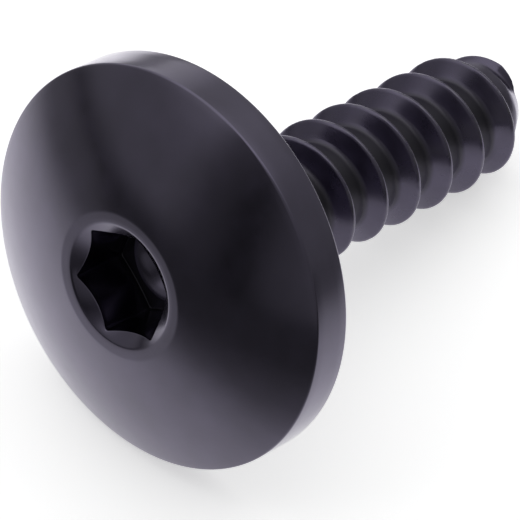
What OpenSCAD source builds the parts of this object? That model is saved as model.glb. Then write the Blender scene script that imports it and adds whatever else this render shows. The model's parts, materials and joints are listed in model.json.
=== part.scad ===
// Self-tapping screw with a wide domed head, a six-lobe recess and a coarse sharp thread.
// It lies on the table as it comes to rest: on the back edge of its rim and on one thread crest.

/* [Head] */
// Diameter of the head over its rim
head_d = 15; // [12:0.1:18]
// Height of the straight rim, from the bearing face to the foot of the dome
rim_h = 1.55; // [1:0.05:2.5]
// Height of the dome, from the rim to the flat ring round the recess
dome_h = 1.77; // [1.2:0.01:2.4]
// Outer diameter of the flat ring round the recess
ring_d = 5.5; // [5:0.1:6.5]
// Rounding where the rim meets the dome
rim_front_r = 0.12; // [0.05:0.01:0.3]
// Rounding where the rim meets the bearing face
rim_back_r = 0.1; // [0.05:0.01:0.3]

/* [Recess] */
// Diameter over the six lobes
recess_points_d = 4.4; // [4:0.05:4.6]
// Diameter between the bulges that part the lobes
recess_waist_d = 3.35; // [3:0.05:3.5]
// Rounding of each lobe
recess_lobe_r = 0.2; // [0.15:0.01:0.3]
// Overlap of each bulge with the lobes beside it, which leaves a fine edge between them
recess_edge = 0.012; // [0.005:0.001:0.02]
// Depth of the lobes, from the flat ring
recess_depth = 2.4; // [1.6:0.05:2.5]
// Width of the flat land round the conical floor, inside the bulges
recess_land = 0.1; // [0.05:0.01:0.4]
// Slope of the conical floor
recess_floor_slope = 32; // [10:1:35]
// Width of the lead-in that is left beyond the lobes, on each side
mouth_margin = 0.12; // [0.05:0.01:0.2]
// Slope of the lead-in from the flat ring
mouth_slope = 7; // [3:1:30]
// Turn of the recess about the screw's axis
recess_turn = 4.5; // [0:0.5:60]

/* [Shank] */
// Length under the head
shank_l = 17.35; // [14:0.05:24]
// Diameter of the plain neck under the head
neck_d = 4.1; // [3.9:0.05:4.5]
// Length of the neck, from the bearing face to its shoulder
neck_l = 0.8; // [0.7:0.05:1.1]
// Fillet between the bearing face and the neck
neck_fillet = 0.5; // [0.2:0.05:0.6]
// Diameter of the core, at the foot of the thread
core_d = 3.6; // [3.2:0.05:3.8]
// Diameter of the blunt end
end_d = 2.6; // [2.4:0.05:3.2]
// Length of the cone down to the blunt end
end_cone_l = 0.8; // [0.4:0.05:1.2]

/* [Thread] */
// Diameter over the crests
thread_d = 5; // [4.6:0.05:5.4]
// Distance from turn to turn
pitch = 1.85; // [1.7:0.01:2.2]
// Angle between the two flanks
thread_angle = 60; // [50:1:65]
// Width of the crest
crest_w = 0.12; // [0.06:0.01:0.2]
// Distance from the bearing face to the start of the thread
thread_start = 1.3; // [1.2:0.05:2]
// Angle over which the thread rises from the core
run_in = 150; // [60:10:360]
// Length before the end over which the crests taper
taper_l = 1.85; // [1.2:0.05:3]
// Slope of that taper from the axis
taper_slope = 20; // [8:1:22]
// Angle over which the thread falls away at the end
run_out = 80; // [20:5:120]
// Distance from the last of the thread to the blunt end
end_margin = 0.08; // [0.06:0.01:0.6]

/* [Hidden] */
$fn = 96;

// Driving radii
head_r = head_d / 2;
ring_r = ring_d / 2;
neck_r = neck_d / 2;
core_r = core_d / 2;
thread_r = thread_d / 2;
end_r = end_d / 2;
points_r = recess_points_d / 2;
waist_r = recess_waist_d / 2;
mouth_r = points_r + mouth_margin;

// Heights along the axis: the bearing face is 0, the tip is positive, the dome is negative
ring_z = -rim_h - dome_h;
overlap = 0.01;
clear = 0.5;

// Dome: a sphere through the top of the rim and the edge of the flat ring
dome_drop = (head_r * head_r - ring_r * ring_r - dome_h * dome_h) / (2 * dome_h);
dome_r = norm([head_r, dome_drop]);
dome_z = dome_drop - rim_h;
// The circle that rounds the front edge touches the rim and the dome
front_x = head_r - rim_front_r;
front_z = dome_z - sqrt(pow(dome_r - rim_front_r, 2) - front_x * front_x);
front_touch_x = front_x * dome_r / (dome_r - rim_front_r);

// Recess: each bulge's circle touches the lobes on its two sides
lobe_at = points_r - recess_lobe_r;
bulge_gap = waist_r - lobe_at * cos(30);
bulge_r = (lobe_at * lobe_at + waist_r * waist_r - 2 * lobe_at * waist_r * cos(30)
  - recess_lobe_r * recess_lobe_r) / (2 * (recess_lobe_r - bulge_gap));
bulge_at = waist_r + bulge_r;
mouth_sink = mouth_r * tan(mouth_slope);
floor_z = ring_z + recess_depth;
floor_r = waist_r - recess_land;
floor_sink = floor_r * tan(recess_floor_slope);

// Thread: a helix of four-cornered sections that stand on the core
steps = 40;
flank = tan(thread_angle / 2);
thread_end = shank_l - end_margin;
last_step = floor((thread_end - thread_start) / pitch * steps);
taper_z = shank_l - taper_l;
// Plain edge that is left of the end cone past the thread
end_land = 0.04;
cone_z = shank_l - end_cone_l;

function step_angle(k) = 360 * k / steps;
function step_z(k) = thread_start + pitch * k / steps;
// Height of the crest over the core, as a share of its full height, which falls to 0 at both ends
function rise(k) = min(1, step_angle(k) / run_in, step_angle(last_step - k) / run_out);
function core_at(z) = core_r - max(0, z - cone_z) / end_cone_l * (core_r - end_r);
function full_crest(z) = thread_r - max(0, z - taper_z) * tan(taper_slope);
function corner(r, angle, z) = [r * cos(angle), r * sin(angle), z];
function section(k) =
  let (
    z = step_z(k),
    angle = step_angle(k),
    height = max(0, full_crest(z) - core_at(z)) * rise(k),
    r = core_at(z) + height,
    tip_half = crest_w / 2 * rise(k),
    foot_half = tip_half + height * flank,
    foot_low = z - foot_half,
    foot_high = min(z + foot_half, shank_l - end_land)
  )
  [
    corner(core_at(foot_low), angle, foot_low),
    corner(r, angle, z - tip_half),
    corner(r, angle, z + tip_half),
    corner(core_at(foot_high), angle, foot_high)
  ];

// Points of the threaded shank: the ring inside the head, the ring at the tip, the thread's first and
// last point, then the sections between
first_ring = [for (k = [0 : steps - 1]) corner(core_r, step_angle(k), -rim_h / 2)];
last_ring = [for (k = [0 : steps - 1]) corner(end_r, step_angle(k), shank_l)];
thread_points = concat(
  [section(0)[0], section(last_step)[0]],
  [for (k = [1 : last_step - 1]) each section(k)]
);

// Rest: the table touches the rounded back edge of the rim and the lowest crest
function lean(p) =
  let (along = p.z + rim_back_r, across = head_r - rim_back_r - p.x)
  atan2(across, along) + asin(rim_back_r / norm([along, across]));
tilt = min([for (p = concat(thread_points, last_ring)) lean(p)]);
lift = (head_r - rim_back_r) * cos(tilt) - rim_back_r * sin(tilt) + rim_back_r;
// Reach of the lying screw along the table
reach_head = dome_z * cos(tilt) - dome_r;
reach_tip = max([for (p = concat(thread_points, last_ring)) p.z * cos(tilt) - p.x * sin(tilt)]);

// Half section of the head
module head_section() {
  intersection() {
    translate([0, dome_z]) circle(dome_r);
    translate([0, ring_z]) square([front_touch_x, dome_h + overlap + rim_h / 2]);
  }
  translate([0, front_z]) square([head_r, -rim_back_r - front_z]);
  translate([front_x, front_z]) circle(rim_front_r);
  translate([0, -2 * rim_back_r]) square([head_r - rim_back_r, 2 * rim_back_r]);
  translate([head_r - rim_back_r, -rim_back_r]) circle(rim_back_r);
}

// Half section of the neck
module neck_section() {
  translate([0, -rim_h / 2]) square([neck_r, rim_h / 2 + neck_l]);
  difference() {
    translate([neck_r - overlap, -overlap]) square(neck_fillet + overlap);
    translate([neck_r + neck_fillet, neck_fillet]) circle(neck_fillet);
  }
}

// Point where a lobe's circle passes into the bulge on the given side
function lobe_end(k, side) =
  let (
    middle = 60 * k,
    lobe = lobe_at * [cos(middle), sin(middle)],
    bulge = bulge_at * [cos(middle + side * 30), sin(middle + side * 30)]
  )
  lobe + recess_lobe_r * (bulge - lobe) / norm(bulge - lobe);

// Outline of the six-lobe recess
module six_lobes() {
  difference() {
    union() {
      polygon([for (k = [0 : 5], side = [-1, 1]) lobe_end(k, side)]);
      for (k = [0 : 5]) rotate(60 * k) translate([lobe_at, 0]) circle(recess_lobe_r);
    }
    for (k = [0 : 5]) rotate(60 * k + 30) translate([bulge_at, 0]) circle(bulge_r + recess_edge);
  }
}

// Everything that the recess takes out of the head
module recess() {
  rotate(recess_turn) translate([0, 0, ring_z - clear])
    linear_extrude(recess_depth + clear) six_lobes();
  rotate_extrude() {
    // Shallow lead-in
    polygon([[0, ring_z - overlap], [mouth_r, ring_z - overlap], [mouth_r, ring_z], [0, ring_z + mouth_sink]]);
    // Conical floor
    polygon([[0, floor_z - clear], [floor_r, floor_z - clear], [floor_r, floor_z], [0, floor_z + floor_sink]]);
  }
}

// Places in the shank's list of points
function first_at(k) = k % steps;
function last_at(k) = steps + k % steps;
function at(k, c) = 2 * steps + (k == 0 ? 0 : k == last_step ? 1 : 2 + 4 * (k - 1) + c);
// A four-cornered patch between two steps as two triangles, without those that have shrunk to a line
function patch(low_a, low_b, high_a, high_b) = [
  for (f = [[high_a, high_b, low_b], [high_a, low_b, low_a]])
    if (f[0] != f[1] && f[1] != f[2] && f[2] != f[0]) f
];

// Core and thread as one closed skin: the ridge follows the helix and the core fills in between turns
module threaded_shank() {
  turn_left = last_step - steps;
  ridge = [
    for (k = [0 : last_step - 1], c = [0 : 2])
      each patch(at(k, c), at(k + 1, c), at(k, c + 1), at(k + 1, c + 1))
  ];
  core = [
    for (k = [0 : turn_left - 1])
      each patch(at(k, 3), at(k + 1, 3), at(k + steps, 0), at(k + 1 + steps, 0))
  ];
  below = [for (k = [0 : steps - 2]) each patch(first_at(k), first_at(k + 1), at(k, 0), at(k + 1, 0))];
  above = [
    for (k = [turn_left + 1 : last_step - 1])
      each patch(at(k, 3), at(k + 1, 3), last_at(k), last_at(k + 1))
  ];
  // The thread's first and last point stand on the side of the patch that closes each of these two bands
  below_end = at(steps - 1, 0);
  below_close = [
    [below_end, at(steps, 0), at(0, 0)],
    [below_end, at(0, 0), first_at(0)],
    [below_end, first_at(0), first_at(steps - 1)]
  ];
  above_end = at(turn_left + 1, 3);
  above_close = [
    [last_at(turn_left), last_at(turn_left + 1), above_end],
    [last_at(turn_left), above_end, at(last_step, 0)],
    [at(last_step, 0), above_end, at(turn_left, 3)]
  ];
  polyhedron(
    points = concat(first_ring, last_ring, thread_points),
    faces = concat(
      ridge, core, below, below_close, above, above_close,
      [[for (k = [0 : steps - 1]) first_at(k)]],
      [[for (k = [1 : steps]) last_at(steps - k)]]
    )
  );
}

// The whole screw on its axis, with its tip at the top
module upright_screw() {
  difference() {
    union() {
      rotate_extrude() {
        head_section();
        neck_section();
      }
      threaded_shank();
    }
    recess();
  }
}

module screw() {
  color("#2b2a30")
    translate([-(reach_head + reach_tip) / 2, 0, lift])
      rotate([0, 90 + tilt, 0]) upright_screw();
}

screw();
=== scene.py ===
"""Looks of a black self-tapping screw that lies on a pale table.

The screw is one forged and rolled piece, so it is one mesh: a blank with its head, recess and plain
shank is built row by row, and a Geometry Nodes tree then rolls the thread on it.
"""

import json
import logging
import math
from dataclasses import dataclass, field
from enum import Enum
from typing import Iterator

import bmesh
import bpy
import numpy as np
from mathutils import Matrix, Vector


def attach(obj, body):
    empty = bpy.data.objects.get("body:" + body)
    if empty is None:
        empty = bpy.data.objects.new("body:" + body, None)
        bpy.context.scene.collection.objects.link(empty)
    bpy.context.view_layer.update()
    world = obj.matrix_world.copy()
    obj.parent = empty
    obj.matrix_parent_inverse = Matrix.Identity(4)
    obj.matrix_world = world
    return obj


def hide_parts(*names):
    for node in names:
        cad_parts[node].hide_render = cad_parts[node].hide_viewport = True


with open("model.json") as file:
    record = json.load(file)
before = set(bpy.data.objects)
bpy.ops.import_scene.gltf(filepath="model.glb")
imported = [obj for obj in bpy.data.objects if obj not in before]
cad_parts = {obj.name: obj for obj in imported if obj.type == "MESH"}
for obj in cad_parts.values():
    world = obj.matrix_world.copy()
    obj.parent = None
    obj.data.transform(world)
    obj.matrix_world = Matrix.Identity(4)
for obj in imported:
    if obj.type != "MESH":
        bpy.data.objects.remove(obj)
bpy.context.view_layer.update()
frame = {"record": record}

MM = 0.001
LOG = logging.getLogger("screw")

Row = tuple[np.ndarray, np.ndarray]
Span = tuple[float, float]
Stops = tuple[tuple[float, float], ...]
Colour = tuple[float, float, float]


class Slot(Enum):
    """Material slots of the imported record."""

    BLACK_STEEL = "black_steel"


class Body(Enum):
    """Bodies that the pieces ride on."""

    ROOT = "root"


class Mark(Enum):
    """Values that the thread's tree keeps on the mesh for the finish, painted shade included."""

    RIDGE = "ridge"
    # Rougher, uncoated finish at the thread's roots and the recess floor's land, where painted shade
    # also darkens the colour.
    DULL_AND_SHADE = "root"


@dataclass(frozen=True)
class Term:
    """One value in a node tree. Arithmetic on it adds Math nodes to that tree."""

    tree: bpy.types.NodeTree
    socket: bpy.types.NodeSocket

    def math(self, operation: str, *others: "Term | float") -> "Term":
        """Adds one Math node.

        Args:
            operation: the node's operation, such as ADD.
            others: the values after this one, as terms or plain numbers.

        Returns:
            The node's result.
        """
        node = self.tree.nodes.new("ShaderNodeMath")
        node.operation = operation
        for place, value in enumerate((self, *others)):
            if isinstance(value, Term):
                self.tree.links.new(value.socket, node.inputs[place])
            else:
                node.inputs[place].default_value = value
        return Term(self.tree, node.outputs[0])

    def __add__(self, other: "Term | float") -> "Term":
        """Sum of this and the other value."""
        return self.math("ADD", other)

    def __sub__(self, other: "Term | float") -> "Term":
        """This value less the other."""
        return self.math("SUBTRACT", other)

    def __mul__(self, other: "Term | float") -> "Term":
        """Product of this and the other value."""
        return self.math("MULTIPLY", other)

    def __truediv__(self, other: "Term | float") -> "Term":
        """This value over the other."""
        return self.math("DIVIDE", other)

    def at_least(self, other: "Term | float") -> "Term":
        """The larger of this and the other value."""
        return self.math("MAXIMUM", other)

    def at_most(self, other: "Term | float") -> "Term":
        """The smaller of this and the other value."""
        return self.math("MINIMUM", other)

    def within(self) -> "Term":
        """This value, kept from 0 to 1."""
        return self.at_least(0.0).at_most(1.0)

    def rest(self) -> "Term":
        """What this value leaves of 1."""
        return self * -1.0 + 1.0

    def remap(self, span: Span, result: Span = (0.0, 1.0), soft: bool = True) -> "Term":
        """Maps a span of this value to another span, and keeps the result inside that.

        Args:
            span: this value where the result starts and ends.
            result: the result at those two values.
            soft: whether the result eases in and out.

        Returns:
            The mapped value.
        """
        node = self.tree.nodes.new("ShaderNodeMapRange")
        node.interpolation_type = "SMOOTHSTEP" if soft else "LINEAR"
        names = ("From Min", "From Max", "To Min", "To Max")
        for name, value in zip(names, (*span, *result)):
            node.inputs[name].default_value = value
        self.tree.links.new(self.socket, node.inputs["Value"])
        return Term(self.tree, node.outputs[0])


@dataclass(frozen=True)
class HeadSizes:
    """Sizes of the head and its recess in millimetres.

    The head is the solid's. The recess follows a later overlay on the photo and differs a little.
    """

    head_r: float = 7.5
    rim_h: float = 1.55
    dome_h: float = 1.77
    ring_r: float = 2.75
    rim_front_r: float = 0.12
    rim_back_r: float = 0.1
    points_r: float = 2.14
    waist_r: float = 1.82
    lobe_r: float = 0.14
    recess_depth: float = 2.4
    recess_land: float = 0.32
    floor_slope_deg: float = 32.0
    mouth_margin: float = 0.18
    mouth_slope_deg: float = 31.0
    recess_turn_deg: float = 4.5
    land_reach: float = 0.15
    land_edge: float = 0.03
    recess_edge_r: float = 0.03
    floor_fillet: float = 0.05
    ring_edge_r: float = 0.06

    @property
    def ring_z(self) -> float:
        """Height of the flat ring along the axis; the bearing face is 0."""
        return -self.rim_h - self.dome_h

    @property
    def dome_drop(self) -> float:
        """Distance from the top of the rim to the middle of the dome's sphere."""
        across = self.head_r**2 - self.ring_r**2 - self.dome_h**2
        return across / (2 * self.dome_h)

    @property
    def dome_r(self) -> float:
        """Radius of the dome's sphere."""
        return math.hypot(self.head_r, self.dome_drop)

    @property
    def mouth_r(self) -> float:
        """Radius of the lead-in where it meets the flat ring."""
        return self.points_r + self.mouth_margin


@dataclass(frozen=True)
class ShankSizes:
    """Sizes of the neck, the core and the thread in millimetres.

    They are the solid's, but for the roundings, the nicks and a shorter run-out at the tip.
    """

    length: float = 17.35
    neck_r: float = 2.05
    neck_l: float = 0.8
    neck_fillet: float = 0.5
    shoulder_edge: float = 0.06
    core_r: float = 1.8
    end_r: float = 1.3
    end_cone_l: float = 0.8
    end_edge: float = 0.1
    crest_r: float = 2.5
    pitch: float = 1.85
    flank_deg: float = 30.0
    crest_half: float = 0.06
    start: float = 1.3
    run_in_deg: float = 150.0
    taper_l: float = 1.85
    taper_slope_deg: float = 20.0
    run_out_deg: float = 45.0
    end_margin: float = 0.08
    crest_round: float = 0.05
    root_round: float = 0.14
    nick_depth: float = 0.03

    @property
    def turns(self) -> float:
        """Turns of the thread from its first to its last point."""
        return (self.length - self.end_margin - self.start) / self.pitch

    @property
    def cone_z(self) -> float:
        """Where the core starts to fall towards the blunt end."""
        return self.length - self.end_cone_l

    @property
    def taper_z(self) -> float:
        """Where the crests start to fall towards the blunt end."""
        return self.length - self.taper_l


def bend(start: Row, corner: Row, end: Row, steps: int) -> Iterator[Row]:
    """Rounds a corner between two rows.

    Args:
        start: the row where the rounding leaves the first side.
        corner: the row at the corner itself.
        end: the row where the rounding meets the second side.
        steps: how many rows the rounding takes after its first.

    Yields:
        The rows of the rounding, its first and last one included.
    """
    for k in range(steps + 1):
        t = k / steps
        parts = ((1 - t) ** 2, 2 * t * (1 - t), t**2)
        yield tuple(
            sum(part * row[axis] for part, row in zip(parts, (start, corner, end)))
            for axis in (0, 1)
        )


@dataclass
class ScrewBlank:
    """The forged blank: rows of points round the axis, from the recess floor to the blunt end."""

    head: HeadSizes
    shank: ShankSizes
    sides: int = 240
    dome_rows: int = 22
    wall_rows: int = 8
    floor_rows: int = 5
    bend_rows: int = 5
    edge_rows: int = 4
    mouth_rows: int = 3
    rim_rows: int = 4
    bearing_rows: int = 5
    fillet_share: float = 0.8
    edge_share: float = 0.75
    ridge_rows: tuple[float, ...] = (0.035, 0.07, 0.12, 0.2, 0.3, 0.38, 0.45, 0.53, 0.62, 0.77)
    rows: list[Row] = field(default_factory=list)
    turn_rows: int = field(default=0, init=False)
    angle: np.ndarray = field(init=False)
    star: np.ndarray = field(init=False)

    def __post_init__(self) -> None:
        """Sets the angle of each side and the outline of the recess."""
        self.angle = np.arange(self.sides) * 2 * math.pi / self.sides
        self.star = self.star_radius()

    def ring(self, r: float, z: float) -> Row:
        """A round row of that radius and height."""
        return np.full(self.sides, r), np.full(self.sides, z)

    def star_radius(self) -> np.ndarray:
        """Radius of the six-lobe outline at each side.

        Returns:
            One radius for each side's angle.
        """
        h = self.head
        lobe_at = h.points_r - h.lobe_r
        gap = h.waist_r - lobe_at * math.cos(math.pi / 6)
        chord = lobe_at**2 + h.waist_r**2 - 2 * lobe_at * h.waist_r * math.cos(math.pi / 6)
        bulge_r = (chord - h.lobe_r**2) / (2 * (h.lobe_r - gap))
        bulge_at = h.waist_r + bulge_r
        bulge = bulge_at * np.array([math.cos(math.pi / 6), math.sin(math.pi / 6)])
        towards = bulge - np.array([lobe_at, 0.0])
        touch = np.array([lobe_at, 0.0]) + towards * h.lobe_r / np.linalg.norm(towards)
        touch_angle = math.atan2(touch[1], touch[0])
        step = math.pi / 3
        turned = self.angle - math.radians(h.recess_turn_deg)
        from_lobe = np.abs((turned + step / 2) % step - step / 2)
        from_bulge = step / 2 - from_lobe
        in_lobe = lobe_at * np.cos(from_lobe) + np.sqrt(
            np.maximum(0, h.lobe_r**2 - (lobe_at * np.sin(from_lobe)) ** 2)
        )
        in_bulge = bulge_at * np.cos(from_bulge) - np.sqrt(
            np.maximum(0, bulge_r**2 - (bulge_at * np.sin(from_bulge)) ** 2)
        )
        return np.where(from_lobe < touch_angle, in_lobe, in_bulge)

    def add_recess(self) -> None:
        """Adds the conical floor, the lobed wall and the lead-in of the recess."""
        h = self.head
        floor_z = h.ring_z + h.recess_depth
        floor_r = h.waist_r - h.recess_land
        sink = math.tan(math.radians(h.floor_slope_deg))
        for k in range(1, self.floor_rows + 1):
            r = floor_r * k / self.floor_rows
            self.rows.append(self.ring(r, floor_z + (floor_r - r) * sink))
        self.rows.append(self.ring(floor_r + h.land_edge, floor_z))
        slope = math.tan(math.radians(h.mouth_slope_deg))
        level = np.full(self.sides, floor_z)
        fillet = np.minimum(h.floor_fillet, (self.star - floor_r) * self.fillet_share)
        self.rows += bend(
            (self.star - fillet, level),
            (self.star, level),
            (self.star, level - fillet),
            self.bend_rows,
        )
        top = h.ring_z + (h.mouth_r - self.star) * slope
        edge = np.minimum(h.recess_edge_r, (h.mouth_r - self.star) * self.edge_share)
        wall_from, wall_to = floor_z - fillet, top + edge
        for k in range(1, self.wall_rows):
            share = k / self.wall_rows
            self.rows.append((self.star, wall_from + (wall_to - wall_from) * share))
        self.rows += bend(
            (self.star, wall_to),
            (self.star, top),
            (self.star + edge, top - edge * slope),
            self.bend_rows,
        )
        soft = np.minimum(h.ring_edge_r, (h.mouth_r - self.star - edge) * self.fillet_share)
        flat = np.full(self.sides, h.ring_z)
        mouth = np.full(self.sides, h.mouth_r)
        lead_in = mouth - soft
        middle = (self.star + edge + lead_in) / 2
        self.rows.append((middle, h.ring_z + (h.mouth_r - middle) * slope))
        self.rows += bend(
            (lead_in, flat + soft * slope),
            (mouth, flat),
            (mouth + h.ring_edge_r, flat),
            self.mouth_rows,
        )

    def add_dome(self) -> None:
        """Adds the flat ring, the dome and the rim with its two rounded edges."""
        h = self.head
        centre_z = h.dome_drop - h.rim_h

        def on_dome(r: float) -> Row:
            """The dome's row at that radius."""
            return self.ring(r, centre_z - math.sqrt(h.dome_r**2 - r**2))

        inner = h.ring_r - h.ring_edge_r
        self.rows.append(self.ring((h.mouth_r + inner) / 2, h.ring_z))
        dome_from = h.ring_r + h.ring_edge_r
        self.rows += bend(
            self.ring(inner, h.ring_z),
            self.ring(h.ring_r, h.ring_z),
            on_dome(dome_from),
            self.edge_rows,
        )
        front_x = h.head_r - h.rim_front_r
        reach = h.dome_r - h.rim_front_r
        front_z = centre_z - math.sqrt(reach**2 - front_x**2)
        touch = front_x * h.dome_r / reach
        for k in range(1, self.dome_rows):
            self.rows.append(on_dome(dome_from + (touch - dome_from) * k / self.dome_rows))
        touch_angle = math.asin(touch / h.dome_r)
        for k in range(self.bend_rows + 2):
            t = touch_angle + (math.pi / 2 - touch_angle) * k / (self.bend_rows + 1)
            out, up = h.rim_front_r * math.sin(t), h.rim_front_r * math.cos(t)
            self.rows.append(self.ring(front_x + out, front_z - up))
        back = h.rim_back_r
        for k in range(1, self.rim_rows):
            self.rows.append(self.ring(h.head_r, front_z - (front_z + back) * k / self.rim_rows))
        for k in range(self.bend_rows + 2):
            t = math.pi / 2 * k / (self.bend_rows + 1)
            self.rows.append(
                self.ring(h.head_r - back + back * math.cos(t), -back + back * math.sin(t))
            )

    def add_neck(self) -> None:
        """Adds the bearing face, the fillet under the head and the neck with its shoulder."""
        h, s = self.head, self.shank
        fillet_r = s.neck_r + s.neck_fillet
        outer = h.head_r - h.rim_back_r
        for k in range(1, self.bearing_rows):
            self.rows.append(self.ring(outer + (fillet_r - outer) * k / self.bearing_rows, 0.0))
        for k in range(self.bend_rows + 1):
            t = math.pi / 2 * k / self.bend_rows
            self.rows.append(
                self.ring(fillet_r - s.neck_fillet * math.sin(t), s.neck_fillet * (1 - math.cos(t)))
            )
        edge = s.shoulder_edge
        self.rows += bend(
            self.ring(s.neck_r, s.neck_l - edge),
            self.ring(s.neck_r, s.neck_l),
            self.ring(s.neck_r - edge, s.neck_l),
            self.edge_rows,
        )
        self.rows += bend(
            self.ring(s.core_r + edge, s.neck_l),
            self.ring(s.core_r, s.neck_l),
            self.ring(s.core_r, s.neck_l + edge),
            self.edge_rows,
        )

    def core_radius(self, z: np.ndarray) -> np.ndarray:
        """Radius of the plain core.

        Args:
            z: heights along the axis.

        Returns:
            The radius at each height.
        """
        s = self.shank
        share = np.maximum(0, z - s.cone_z) / s.end_cone_l
        return s.core_r - share * (s.core_r - s.end_r)

    def add_core(self) -> None:
        """Adds the plain core in rows that climb with the thread, for its crest and its root."""
        s = self.shank
        low, high = s.neck_l + s.shoulder_edge, s.length - s.end_edge
        offsets = sorted({0.0, s.pitch / 2, *self.ridge_rows, *(-d for d in self.ridge_rows)})
        climb = s.start + s.pitch * self.angle / (2 * math.pi)
        first = math.floor((low - s.start) / s.pitch) - 1
        last = math.ceil((high - s.start) / s.pitch)
        for turn in range(first, last + 1):
            for offset in offsets:
                z = np.clip(climb + s.pitch * turn + offset, low, high)
                self.rows.append((self.core_radius(z), z))
        self.turn_rows = len(offsets)

    def add_end(self) -> None:
        """Adds the rounded edge and the flat of the blunt end."""
        s = self.shank
        low = s.length - s.end_edge
        self.rows += bend(
            self.ring(float(self.core_radius(np.array(low))), low),
            self.ring(s.end_r, s.length),
            self.ring(s.end_r - s.end_edge, s.length),
            self.bend_rows,
        )
        self.rows.append(self.ring(s.end_r / 2, s.length))

    def mesh(self) -> bpy.types.Mesh:
        """Joins the rows to one closed skin.

        Returns:
            The blank's mesh, on its own axis and in metres.
        """
        self.add_recess()
        self.add_dome()
        self.add_neck()
        core_from = len(self.rows)
        self.add_core()
        core_to = len(self.rows)
        self.add_end()
        r = np.array([row[0] for row in self.rows])
        z = np.array([row[1] for row in self.rows])
        points = np.stack([r * np.cos(self.angle), r * np.sin(self.angle), z], axis=-1)
        floor_r, floor_z = self.rows[0][0][0], self.rows[0][1][0]
        apex = floor_z + floor_r * math.tan(math.radians(self.head.floor_slope_deg))
        poles = np.array([[0, 0, apex], [0, 0, self.shank.length]])
        count, sides = r.shape

        def at(row: int, side: int) -> int:
            """Place of a point; past the last side a climbing row goes on one turn higher."""
            if side == sides and core_from <= row < core_to:
                row = min(row + self.turn_rows, core_to - 1)
            return row * sides + side % sides

        faces = [
            (at(row, k), at(row, k + 1), at(row + 1, k + 1), at(row + 1, k))
            for row in range(count - 1)
            for k in range(sides)
        ]
        first_pole, last_pole = count * sides, count * sides + 1
        faces += [(first_pole, at(0, k + 1), at(0, k)) for k in range(sides)]
        faces += [(last_pole, at(count - 1, k), at(count - 1, k + 1)) for k in range(sides)]
        mesh = bpy.data.meshes.new("screw_skin")
        mesh.from_pydata(np.concatenate([points.reshape(-1, 3), poles]) * MM, [], faces)
        return mesh


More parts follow.
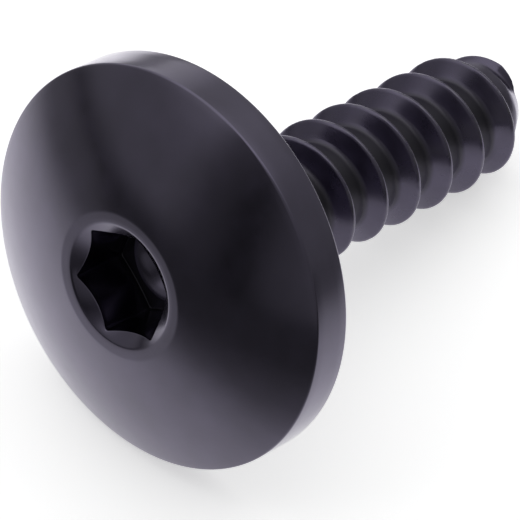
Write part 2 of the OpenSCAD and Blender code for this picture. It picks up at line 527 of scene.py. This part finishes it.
@dataclass
class ThreadRoll:
    """Geometry Nodes that roll the thread on the blank, as the dies do."""

    head: HeadSizes
    sizes: ShankSizes
    name: str = "roll_thread"
    nick_grain: float = 0.45
    nick_share: float = 0.6
    nick_detail: float = 2.0
    root_reach: float = 6.0
    tip_blend: float = 3.0

    def inputs(self) -> dict[str, float]:
        """The tree's inputs.

        Returns:
            Each input's value by its name, in metres, turns or slopes.
        """
        h, s = self.head, self.sizes
        floor_z = h.ring_z + h.recess_depth
        return {
            "Floor radius": (h.waist_r - h.recess_land + h.land_edge / 2) * MM,
            "Mouth radius": h.mouth_r * MM,
            "Land from": (floor_z - h.land_reach) * MM,
            "Land to": (floor_z + h.land_reach) * MM,
            "Start": s.start * MM,
            "Pitch": s.pitch * MM,
            "Turns": s.turns,
            "Run in": s.run_in_deg / 360,
            "Run out": s.run_out_deg / 360,
            "Crest radius": s.crest_r * MM,
            "Taper from": s.taper_z * MM,
            "Taper slope": math.tan(math.radians(s.taper_slope_deg)),
            "Core radius": s.core_r * MM,
            "Cone from": s.cone_z * MM,
            "Cone slope": (s.core_r - s.end_r) / s.end_cone_l,
            "Crest half": s.crest_half * MM,
            "Flank slope": math.tan(math.radians(s.flank_deg)),
            "Crest round": s.crest_round * MM,
            "Root round": s.root_round * MM,
            "End": (s.length - s.end_edge) * MM,
            "End fade": s.end_edge * MM,
            "Nick depth": s.nick_depth * MM,
        }

    def build(self, material: bpy.types.Material) -> tuple[bpy.types.NodeTree, dict[str, str]]:
        """Makes the tree.

        Args:
            material: the finish that the tree sets on the screw.

        Returns:
            The tree, and the identifier of each named input.
        """
        tree = bpy.data.node_groups.new(self.name, "GeometryNodeTree")
        face = tree.interface
        face.new_socket("Geometry", in_out="INPUT", socket_type="NodeSocketGeometry")
        face.new_socket("Geometry", in_out="OUTPUT", socket_type="NodeSocketGeometry")
        identifiers = {
            name: face.new_socket(name, in_out="INPUT", socket_type="NodeSocketFloat").identifier
            for name in self.inputs()
        }
        source = tree.nodes.new("NodeGroupInput")
        size = {name: Term(tree, source.outputs[name]) for name in identifiers}
        where = tree.nodes.new("GeometryNodeInputPosition")
        parts = tree.nodes.new("ShaderNodeSeparateXYZ")
        tree.links.new(where.outputs[0], parts.inputs[0])
        x, y, z = (Term(tree, parts.outputs[k]) for k in range(3))
        ridge, share = self.ridge(x, y, z, size)
        across = (x * x + y * y).math("SQRT")
        offset = tree.nodes.new("ShaderNodeCombineXYZ")
        for place, value in enumerate((x, y)):
            tree.links.new((value / across * ridge).socket, offset.inputs[place])
        # Mask of the rougher, uncoated roots and recess land, which also carries painted shade.
        dull_and_shade = self.dull_and_shade(across, z, share, size)
        stores = (self.store(tree, Mark.RIDGE, share), self.store(tree, Mark.DULL_AND_SHADE, dull_and_shade))
        move = tree.nodes.new("GeometryNodeSetPosition")
        realize = tree.nodes.new("GeometryNodeRealizeInstances")
        dress = tree.nodes.new("GeometryNodeSetMaterial")
        dress.inputs["Material"].default_value = material
        result = tree.nodes.new("NodeGroupOutput")
        tree.links.new(offset.outputs[0], move.inputs["Offset"])
        chain = (source, *stores, move, realize, dress, result)
        for before, after in zip(chain, chain[1:]):
            tree.links.new(before.outputs["Geometry"], after.inputs["Geometry"])
        return tree, identifiers

    def store(self, tree: bpy.types.NodeTree, mark: Mark, value: Term) -> bpy.types.Node:
        """Adds a node that keeps a value on the mesh for the finish.

        Args:
            tree: the tree that gets the node.
            mark: what the value is.
            value: the value at each point.

        Returns:
            The node.
        """
        node = tree.nodes.new("GeometryNodeStoreNamedAttribute")
        node.data_type = "FLOAT"
        node.inputs["Name"].default_value = mark.value
        tree.links.new(value.socket, node.inputs["Value"])
        return node

    def dull_and_shade(self, across: Term, z: Term, share: Term, size: dict[str, Term]) -> Term:
        """Where the finish is rougher and uncoated, and painted shade darkens it: at the thread's
        root and on the land round the recess floor.

        Args:
            across: distance from the axis.
            z: place along the axis.
            share: the ridge's share of the full thread's height.
            size: the tree's inputs by name.

        Returns:
            1 where it is dull and 0 elsewhere.
        """
        from_start = (z - size["Start"]) / size["Pitch"]
        to_tip = (size["Taper from"] - z) / size["Pitch"] + 1.0
        zone = from_start.at_most(to_tip).within()
        root = (share * -self.root_reach + 1.0).at_least(0.0) * zone
        land = across.math("GREATER_THAN", size["Floor radius"])
        land = land * across.math("LESS_THAN", size["Mouth radius"])
        land = land * z.math("GREATER_THAN", size["Land from"])
        return root + land * z.math("LESS_THAN", size["Land to"])

    def ridge(self, x: Term, y: Term, z: Term, size: dict[str, Term]) -> tuple[Term, Term]:
        """Height of the thread over the core at a point of the blank.

        Args:
            x: first place across the axis.
            y: second place across the axis.
            z: place along the axis.
            size: the tree's inputs by name.

        Returns:
            The height, and its share of the full thread's height.
        """
        around = (y.math("ARCTAN2", x) / (2 * math.pi)).math("FLOORED_MODULO", 1.0)
        climbed = (z - size["Start"]) / size["Pitch"] - around
        nearest = (climbed + 0.5).math("FLOOR")
        turn = nearest + around
        aside = (climbed - nearest).math("ABSOLUTE") * size["Pitch"]
        crest_z = size["Start"] + size["Pitch"] * turn
        left = size["Turns"] - turn
        rise = (turn / size["Run in"]).at_most(left / size["Run out"]).within()
        tapered = (crest_z - size["Taper from"]).at_least(0.0)
        coned = (crest_z - size["Cone from"]).at_least(0.0)
        crest = size["Crest radius"] - tapered * size["Taper slope"]
        core = size["Core radius"] - coned * size["Cone slope"]
        height = (crest - core).at_least(0.0) * rise
        flank = height + (size["Crest half"] * rise - aside) / size["Flank slope"]
        top = height.math("SMOOTH_MIN", flank, size["Crest round"] * rise)
        blend = size["Root round"] * (tapered / size["Pitch"] * self.tip_blend + 1.0)
        ridge = top.math("SMOOTH_MAX", 0.0, blend * rise)
        full = size["Crest radius"] - size["Core radius"]
        share = ridge / full
        fade = ((size["End"] - z) / size["End fade"]).within()
        ridge = ridge * fade - self.nicks(x.tree) * share * size["Nick depth"]
        return ridge.at_least(0.0), share * fade

    def nicks(self, tree: bpy.types.NodeTree) -> Term:
        """Small dents where the dies and the barrel have struck the crests.

        Args:
            tree: the tree that gets the nodes.

        Returns:
            How deep the dent is at each point, from 0 to about 1.
        """
        noise = tree.nodes.new("ShaderNodeTexNoise")
        noise.inputs["Scale"].default_value = 1 / (self.nick_grain * MM)
        noise.inputs["Detail"].default_value = self.nick_detail
        value = Term(tree, noise.outputs[0])
        return (value - self.nick_share).at_least(0.0) / (1 - self.nick_share)


@dataclass(frozen=True)
class Grain:
    """A noise on the screw's own coordinates, with spots of a size in millimetres."""

    size: float
    detail: float

    def noise(self, tree: bpy.types.NodeTree) -> Term:
        """Adds the noise to a material.

        Args:
            tree: the material's nodes.

        Returns:
            Its value, from 0 to 1.
        """
        where = tree.nodes.new("ShaderNodeTexCoord")
        noise = tree.nodes.new("ShaderNodeTexNoise")
        noise.inputs["Scale"].default_value = 1 / (self.size * MM)
        noise.inputs["Detail"].default_value = self.detail
        tree.links.new(where.outputs["Object"], noise.inputs["Vector"])
        return Term(tree, noise.outputs[0])


@dataclass(frozen=True)
class BlackPassivate:
    """Satin black passivated steel: nearly black head-on, bright towards its edges."""

    colour: Colour = (0.079, 0.069, 0.112)
    shade: float = 0.8
    edge_tint: Colour = (0.9, 0.87, 1.0)
    roughness: Span = (0.18, 0.26)
    worn: Colour = (0.11, 0.105, 0.125)
    crest_from: float = 0.94
    crest_rise: float = 14.0
    crest_wear: float = 0.6
    flank_rise: float = 6.0
    flank_roughness: float = 0.07
    flank_wear: float = 0.35
    root_roughness: float = 0.2
    # Painted shade: a darker colour in the thread's roots and on the recess floor's land.
    painted_shade_colour: Colour = (0.048, 0.046, 0.054)
    seal_ior: float = 1.5
    seal_roughness: float = 0.17
    seal_tint: Colour = (1.0, 0.98, 1.0)
    noise_span: Span = (0.3, 0.7)
    mottle: Grain = Grain(1.6, 4.0)
    haze: Grain = Grain(0.7, 3.0)
    wear: Grain = Grain(0.27, 2.0)
    skin: Grain = Grain(0.09, 3.0)
    skin_height: float = 0.0012
    skin_strength: float = 0.35

    def attribute(self, tree: bpy.types.NodeTree, mark: Mark) -> Term:
        """Reads a value that the thread's tree has kept on the mesh.

        Args:
            tree: the material's nodes.
            mark: which value.

        Returns:
            The value at each point.
        """
        node = tree.nodes.new("ShaderNodeAttribute")
        node.attribute_name = mark.value
        return Term(tree, node.outputs["Fac"])

    def mix(
        self,
        share: Term,
        first: "bpy.types.NodeSocket | Colour",
        second: "bpy.types.NodeSocket | Colour",
    ) -> bpy.types.NodeSocket:
        """Mixes two colours by a share.

        Args:
            share: 0 gives the first colour and 1 the second.
            first: a colour or a socket that gives one.
            second: a colour or a socket that gives one.

        Returns:
            The mixed colour.
        """
        node = share.tree.nodes.new("ShaderNodeMix")
        node.data_type = "RGBA"
        share.tree.links.new(share.socket, node.inputs[0])
        sockets = {socket.identifier: socket for socket in (*node.inputs, *node.outputs)}
        for name, colour in (("A_Color", first), ("B_Color", second)):
            if isinstance(colour, tuple):
                sockets[name].default_value = (*colour, 1.0)
            else:
                share.tree.links.new(colour, sockets[name])
        return sockets["Result_Color"]

    def material(self) -> bpy.types.Material:
        """Makes the finish.

        Returns:
            The material.
        """
        material = bpy.data.materials.new("black_passivated_steel")
        material.use_nodes = True
        tree = material.node_tree
        shader = tree.nodes["Principled BSDF"]
        shader.inputs["Metallic"].default_value = 1.0
        shader.inputs["Specular Tint"].default_value = (*self.edge_tint, 1.0)
        shader.inputs["Coat IOR"].default_value = self.seal_ior
        shader.inputs["Coat Roughness"].default_value = self.seal_roughness
        shader.inputs["Coat Tint"].default_value = (*self.seal_tint, 1.0)
        ridge = self.attribute(tree, Mark.RIDGE)
        dull_and_shade = self.attribute(tree, Mark.DULL_AND_SHADE)
        crest = (ridge - self.crest_from).at_least(0.0) * self.crest_rise
        flank = (ridge * self.flank_rise).at_most(1.0) - crest
        mottle = self.mottle.noise(tree).remap(self.noise_span, soft=False)
        wear = self.wear.noise(tree).remap(self.noise_span, soft=False)
        haze = self.haze.noise(tree).remap(self.noise_span, self.roughness, soft=False)
        colour = self.mix(mottle, tuple(self.shade * c for c in self.colour), self.colour)
        colour = self.mix(crest * wear, colour, self.worn)
        # Painted shade: the roots and the recess land take the darker colour.
        colour = self.mix(dull_and_shade, colour, self.painted_shade_colour)
        rough = haze + dull_and_shade * self.root_roughness + flank * self.flank_roughness
        bare = dull_and_shade + crest * self.crest_wear + flank * self.flank_wear
        seal = bare.rest().at_least(0.0)
        bump = tree.nodes.new("ShaderNodeBump")
        bump.inputs["Strength"].default_value = self.skin_strength
        bump.inputs["Distance"].default_value = self.skin_height * MM
        tree.links.new(self.skin.noise(tree).socket, bump.inputs["Height"])
        tree.links.new(colour, shader.inputs["Base Color"])
        tree.links.new(rough.socket, shader.inputs["Roughness"])
        tree.links.new(seal.socket, shader.inputs["Coat Weight"])
        tree.links.new(bump.outputs[0], shader.inputs["Normal"])
        return material


@dataclass
class Screw:
    """The whole screw: its skin, its thread and its finish."""

    head: HeadSizes
    shank: ShankSizes
    finish: BlackPassivate
    mount: str = "thread"
    mount_at: float = 9.0
    merge_dist: float = 0.0005

    def place(self) -> Matrix:
        """Place of the screw's own axis in the shared frame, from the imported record's thread mount.

        Returns:
            The matrix from the screw's own axes to the shared frame.
        """
        mount = next(m for m in frame["record"]["mounts"] if m["name"] == self.mount)
        along = Vector(mount["axis"]).normalized()
        side = Vector((0.0, 1.0, 0.0))
        down = side.cross(along)
        origin = Vector(mount["pos_m"]) - along * self.mount_at * MM
        turn = Matrix((down, side, along)).transposed().to_4x4()
        return Matrix.Translation(origin) @ turn

    def build(self) -> bpy.types.Object:
        """Makes the screw and lays it where the solid lies.

        Returns:
            The finished piece, riding on the root body.
        """
        blank = bpy.data.objects.new("screw_blank", ScrewBlank(self.head, self.shank).mesh())
        bpy.context.scene.collection.objects.link(blank)
        roll = ThreadRoll(self.head, self.shank)
        tree, identifiers = roll.build(self.finish.material())
        modifier = blank.modifiers.new(roll.name, "NODES")
        modifier.node_group = tree
        for name, value in roll.inputs().items():
            modifier[identifiers[name]] = value
        bpy.context.view_layer.update()
        shaped = blank.evaluated_get(bpy.context.evaluated_depsgraph_get())
        mesh = bpy.data.meshes.new_from_object(shaped)
        bpy.data.objects.remove(blank)
        self.close(mesh)
        mesh.transform(self.place())
        piece = bpy.data.objects.new("domed_screw", mesh)
        bpy.context.scene.collection.objects.link(piece)
        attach(piece, Body.ROOT.value)
        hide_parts("screw")
        return piece

    def close(self, mesh: bpy.types.Mesh) -> None:
        """Joins the rows' doubled points, drops faces without area and smooths the shading.

        Args:
            mesh: the rolled screw's mesh, which is changed.
        """
        shape = bmesh.new()
        shape.from_mesh(mesh)
        bmesh.ops.remove_doubles(shape, verts=shape.verts, dist=self.merge_dist * MM)
        bmesh.ops.dissolve_degenerate(shape, edges=shape.edges, dist=self.merge_dist * MM)
        for face in shape.faces:
            face.smooth = True
        shape.to_mesh(mesh)
        shape.free()


@dataclass(frozen=True)
class PhotoCamera:
    """The camera that took the photograph, level and without shift."""

    azimuth_deg: float = -46.054
    elevation_deg: float = 50.379
    distance: float = 144.642
    aim: Colour = (-2.559, 0.0, 3.47)
    focal_px: float = 4000.0
    image_px: float = 520.0
    clip: Span = (1.0, 10000.0)

    def build(self) -> bpy.types.Object:
        """Makes the camera and hands it to the scene.

        Returns:
            The camera.
        """
        data = bpy.data.cameras.new("photo_camera")
        data.lens = data.sensor_width * self.focal_px / self.image_px
        camera = bpy.data.objects.new("photo_camera", data)
        bpy.context.scene.collection.objects.link(camera)
        azimuth, elevation = math.radians(self.azimuth_deg), math.radians(self.elevation_deg)
        back = Vector(
            (
                math.sin(azimuth) * math.cos(elevation),
                -math.cos(azimuth) * math.cos(elevation),
                math.sin(elevation),
            )
        )
        camera.location = (Vector(self.aim) + back * self.distance) * MM
        camera.rotation_mode = "QUATERNION"
        camera.rotation_quaternion = (-back).to_track_quat("-Z", "Y")
        data.clip_start, data.clip_end = (limit * MM for limit in self.clip)
        bpy.context.scene.camera = camera
        return camera


@dataclass(frozen=True)
class TableSheet:
    """The pale sheet that the screw lies on: evenly bright to the camera, and in the screw's
    reflections a painted pool of light round the screw with painted shade on the camera's side.
    """

    radius: float = 1.5
    sides: int = 128
    colour: float = 0.93
    roughness: float = 0.9
    glow: float = 0.5
    # Painted pool of light and painted shade, seen only in reflections: brightest round this centre,
    # dimmer farther out and on the camera's side.
    glow_centre: Span = (12.0, 10.0)
    glow_fade: Span = (18.0, 56.0)
    far_share: float = 0.22
    front_way: Span = (-0.72, -0.69)
    front_fade: Span = (12.0, 22.0)
    front_share: float = 0.4

    def measure(
        self,
        tree: bpy.types.NodeTree,
        where: bpy.types.Node,
        operation: str,
        other: Span,
    ) -> Term:
        """Measures each point of the sheet against a point or a direction on it.

        Args:
            tree: the material's nodes.
            where: the node that gives the point.
            operation: DISTANCE or DOT_PRODUCT.
            other: the point or the direction.

        Returns:
            The distance in metres.
        """
        node = tree.nodes.new("ShaderNodeVectorMath")
        node.operation = operation
        node.inputs[1].default_value = (*other, 0.0)
        tree.links.new(where.outputs["Object"], node.inputs[0])
        return Term(tree, node.outputs["Value"])

    def fade(self, way: Term, span: Span, low: float) -> Term:
        """A share that falls from 1 over a span.

        Args:
            way: the distance in metres.
            span: where the fall starts and ends, in millimetres.
            low: the share past the span.

        Returns:
            The share.
        """
        return way.remap((span[0] * MM, span[1] * MM), (1.0, low))

    def material(self) -> bpy.types.Material:
        """Makes the sheet's finish: plain to the camera; in the screw's reflections a painted pool of
        light that dims farther away, with painted shade on the camera's side.

        Returns:
            The material.
        """
        material = bpy.data.materials.new("pale_sheet")
        material.use_nodes = True
        tree = material.node_tree
        shader = tree.nodes["Principled BSDF"]
        shader.inputs["Roughness"].default_value = self.roughness
        shader.inputs["Specular IOR Level"].default_value = 0.0
        shader.inputs["Emission Color"].default_value = (1.0, 1.0, 1.0, 1.0)
        ray = tree.nodes.new("ShaderNodeLightPath")
        where = tree.nodes.new("ShaderNodeTexCoord")
        far = self.measure(tree, where, "DISTANCE", tuple(c * MM for c in self.glow_centre))
        front = self.measure(tree, where, "DOT_PRODUCT", self.front_way)
        share = self.fade(far, self.glow_fade, self.far_share)
        share = share * self.fade(front, self.front_fade, self.front_share)
        mirrored = Term(tree, ray.outputs["Is Glossy Ray"])
        through = Term(tree, ray.outputs["Is Transmission Ray"])
        seen = Term(tree, ray.outputs["Is Camera Ray"]) + through
        # Glossy rays see painted light: colour and glow fall off away from the centre and towards the
        # camera's side.
        colour = (mirrored * share + mirrored.rest()) * self.colour
        glow = (seen + mirrored * share) * self.glow
        tree.links.new(colour.socket, shader.inputs["Base Color"])
        tree.links.new(glow.socket, shader.inputs["Emission Strength"])
        return material

    def build(self) -> bpy.types.Object:
        """Makes the sheet.

        Returns:
            A wide flat disc under the screw.
        """
        bpy.ops.mesh.primitive_circle_add(
            vertices=self.sides, radius=self.radius, fill_type="TRIFAN"
        )
        sheet = bpy.context.object
        sheet.name = "pale_sheet"
        sheet.data.materials.append(self.material())
        return sheet


@dataclass(frozen=True)
class LightTent:
    """The tent round the screw: walls that glow by direction, darker at their foot, and a top."""

    radius: float = 0.4
    segments: int = 64
    ring_count: int = 32
    walls: Stops = (
        # Back left, falling away from the lamp
        (-180, 0.55),
        (-160, 0.42),
        # Left wall
        (-145, 0.36),
        (-110, 0.36),
        # Dark gap in the tent that the dome's dark stripe reflects
        (-103, 0.15),
        (-96, 0.13),
        (-91, 0.05),
        (-85, 0.05),
        (-79, 0.18),
        # Front wall, on the camera's side
        (-64, 0.3),
        (-30, 0.25),
        (35, 0.28),
        (61, 0.33),
        # Right wall
        (104, 0.5),
        (122, 0.45),
        # Lamp behind the screw
        (136, 0.95),
        (160, 0.95),
    )
    foot_dips: Stops = (
        (-180, 0.3),
        (-165, 0.85),
        (-110, 0.85),
        (-100, 0.2),
        (100, 0.1),
        (160, 0.1),
    )
    foot_deg: Span = (1.0, 9.0)
    top_dips: Stops = ((-116, 0.0), (-104, 0.9), (25, 0.9), (55, 0.0))
    top_glow: float = 1.2
    top_deg: Span = (24.0, 60.0)
    shade_deg: Span = (66.0, 84.0)

    def rising(self, height: Term, degrees: Span) -> Term:
        """A soft step between two elevations.

        Args:
            height: sine of the elevation.
            degrees: elevations where the step starts and ends.

        Returns:
            0 below the step and 1 above it.
        """
        return height.remap(tuple(math.sin(math.radians(d)) for d in degrees))

    def by_direction(self, around: Term, values: Stops) -> Term:
        """A value that changes with the direction round the screw.

        Args:
            around: share of a full turn, from 0 to 1.
            values: pairs of azimuth in degrees and value, which changes evenly between them.

        Returns:
            The value.
        """
        stops = sorted((((azimuth - 90) / 360 + 0.5) % 1.0, value) for azimuth, value in values)
        ramp = around.tree.nodes.new("ShaderNodeValToRGB")
        around.tree.links.new(around.socket, ramp.inputs[0])
        elements = ramp.color_ramp.elements
        elements[0].position, elements[1].position = stops[0][0], stops[-1][0]
        for position, _ in stops[1:-1]:
            elements.new(position)
        for element, (_, value) in zip(elements, stops):
            element.color = (value, value, value, 1.0)
        return Term(around.tree, ramp.outputs[0])

    def material(self) -> bpy.types.Material:
        """Makes the glow of the tent.

        Returns:
            The material.
        """
        material = bpy.data.materials.new("tent_glow")
        material.use_nodes = True
        tree = material.node_tree
        tree.nodes.clear()
        where = tree.nodes.new("ShaderNodeTexCoord")
        parts = tree.nodes.new("ShaderNodeSeparateXYZ")
        tree.links.new(where.outputs["Object"], parts.inputs[0])
        x, y, z = (Term(tree, parts.outputs[k]) for k in range(3))
        height = z / self.radius
        around = y.math("ARCTAN2", x) / (2 * math.pi) + 0.5
        foot = self.rising(height, self.foot_deg).rest()
        dip = self.by_direction(around, self.foot_dips) * foot
        wall = self.by_direction(around, self.walls) * dip.rest()
        below = self.rising(height, self.shade_deg).rest()
        shade = self.by_direction(around, self.top_dips) * below
        top = self.rising(height, self.top_deg) * shade.rest()
        glow = wall + (wall * -1.0 + self.top_glow) * top
        emission = tree.nodes.new("ShaderNodeEmission")
        tree.links.new(glow.socket, emission.inputs["Strength"])
        output = tree.nodes.new("ShaderNodeOutputMaterial")
        tree.links.new(emission.outputs[0], output.inputs["Surface"])
        return material

    def build(self) -> bpy.types.Object:
        """Makes the tent, which the camera looks through.

        Returns:
            A sphere round the screw.
        """
        bpy.ops.mesh.primitive_uv_sphere_add(
            segments=self.segments, ring_count=self.ring_count, radius=self.radius
        )
        tent = bpy.context.object
        tent.name = "light_tent"
        tent.visible_camera = False
        tent.data.materials.append(self.material())
        return tent


@dataclass(frozen=True)
class Studio:
    """The pale sheet, the tent over it and the white room past them."""

    sheet: TableSheet = TableSheet()
    tent: LightTent = LightTent()

    def build(self) -> None:
        """Makes the sheet, the tent and the white room, and sets the plain view transform."""
        self.sheet.build()
        self.tent.build()
        world = bpy.data.worlds.new("white_room")
        world.use_nodes = True
        world.node_tree.nodes["Background"].inputs["Color"].default_value = (1.0, 1.0, 1.0, 1.0)
        bpy.context.scene.world = world
        bpy.context.scene.view_settings.view_transform = "Standard"


def main() -> None:
    """Builds the screw, the studio and the camera, and reports the screw's face count."""
    logging.basicConfig(level=logging.INFO, format="%(name)s: %(message)s")
    piece = Screw(HeadSizes(), ShankSizes(), BlackPassivate()).build()
    LOG.info("%s: %d faces", piece.name, len(piece.data.polygons))
    Studio().build()
    PhotoCamera().build()


if __name__ == "__main__":
    main()
